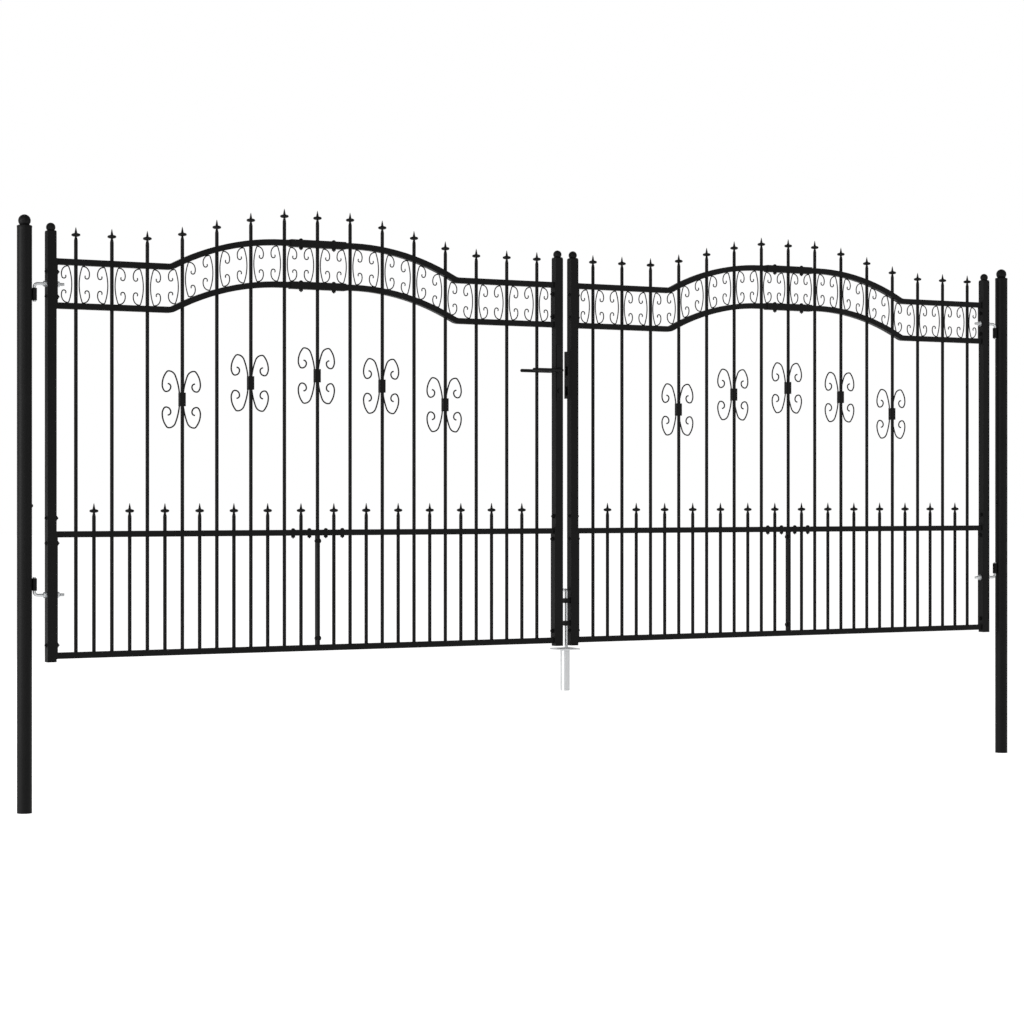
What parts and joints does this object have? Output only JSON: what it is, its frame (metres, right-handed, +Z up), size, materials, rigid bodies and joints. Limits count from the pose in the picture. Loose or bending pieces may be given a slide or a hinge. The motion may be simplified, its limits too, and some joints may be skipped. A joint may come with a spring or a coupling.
{
  "type": "double driveway gate",
  "caption": "Double driveway gate with arched leaves, spear-topped bars and scrolls, between round posts with ball caps, with lever lock and drop bolt.",
  "frame": {"origin": "centre of the left post's foot, on the foot's flat face", "axes": "+X along the closed gate from the left post to the right post, +Y to the rear, the way both leaves open, +Z up"},
  "size_m": [4.049, 0.111, 1.987],
  "materials": {
    "powder_coat": "black powder coat, fine texture, low sheen",
    "lock_steel": "black enamel, satin",
    "zinc_plate": "zinc plate, satin"
  },
  "bodies": {
    "posts": {"left_post": "powder_coat", "right_post": "powder_coat", "post_caps": "powder_coat", "left_hinge_eyes": "powder_coat", "right_hinge_eyes": "powder_coat", "ground_socket": "zinc_plate"},
    "left_leaf": {"left_hinge_stile": "powder_coat", "left_lock_stile": "powder_coat", "left_stile_caps": "powder_coat", "left_outer_panel": "powder_coat", "left_inner_panel": "powder_coat", "left_band_scrolls": "powder_coat", "left_bar_scrolls": "powder_coat", "left_rail_sleeves": "powder_coat", "left_hinge_bolts": "zinc_plate", "lock_case": "lock_steel"},
    "lever": {"lock_lever": "lock_steel"},
    "right_leaf": {"right_hinge_stile": "powder_coat", "right_meeting_stile": "powder_coat", "right_stile_caps": "powder_coat", "right_outer_panel": "powder_coat", "right_inner_panel": "powder_coat", "right_band_scrolls": "powder_coat", "right_bar_scrolls": "powder_coat", "right_rail_sleeves": "powder_coat", "right_hinge_bolts": "zinc_plate", "keep_box": "powder_coat", "drop_guides": "powder_coat"},
    "drop_bolt": {"drop_rod": "zinc_plate"}
  },
  "joints": [
    {"name": "left_leaf_swing", "type": "hinge", "parent": "posts", "child": "left_leaf", "pos_m": [0.0325, 0, 0], "axis": [0, 0, 1], "range_deg": [0, 100]},
    {"name": "right_leaf_swing", "type": "hinge", "parent": "posts", "child": "right_leaf", "pos_m": [3.9675, 0, 0], "axis": [0, 0, -1], "range_deg": [0, 100]},
    {"name": "lever_turn", "type": "hinge", "parent": "left_leaf", "child": "lever", "pos_m": [1.9682, 0, 1.466], "axis": [0, -1, 0], "range_deg": [0, 40], "stiffness_Nm_per_rad": 1, "springref_deg": -34.38},
    {"name": "drop_bolt_slide", "type": "slide", "parent": "right_leaf", "child": "drop_bolt", "axis": [0, 0, 1], "range_m": [-0.022, 0.06]}
  ]
}
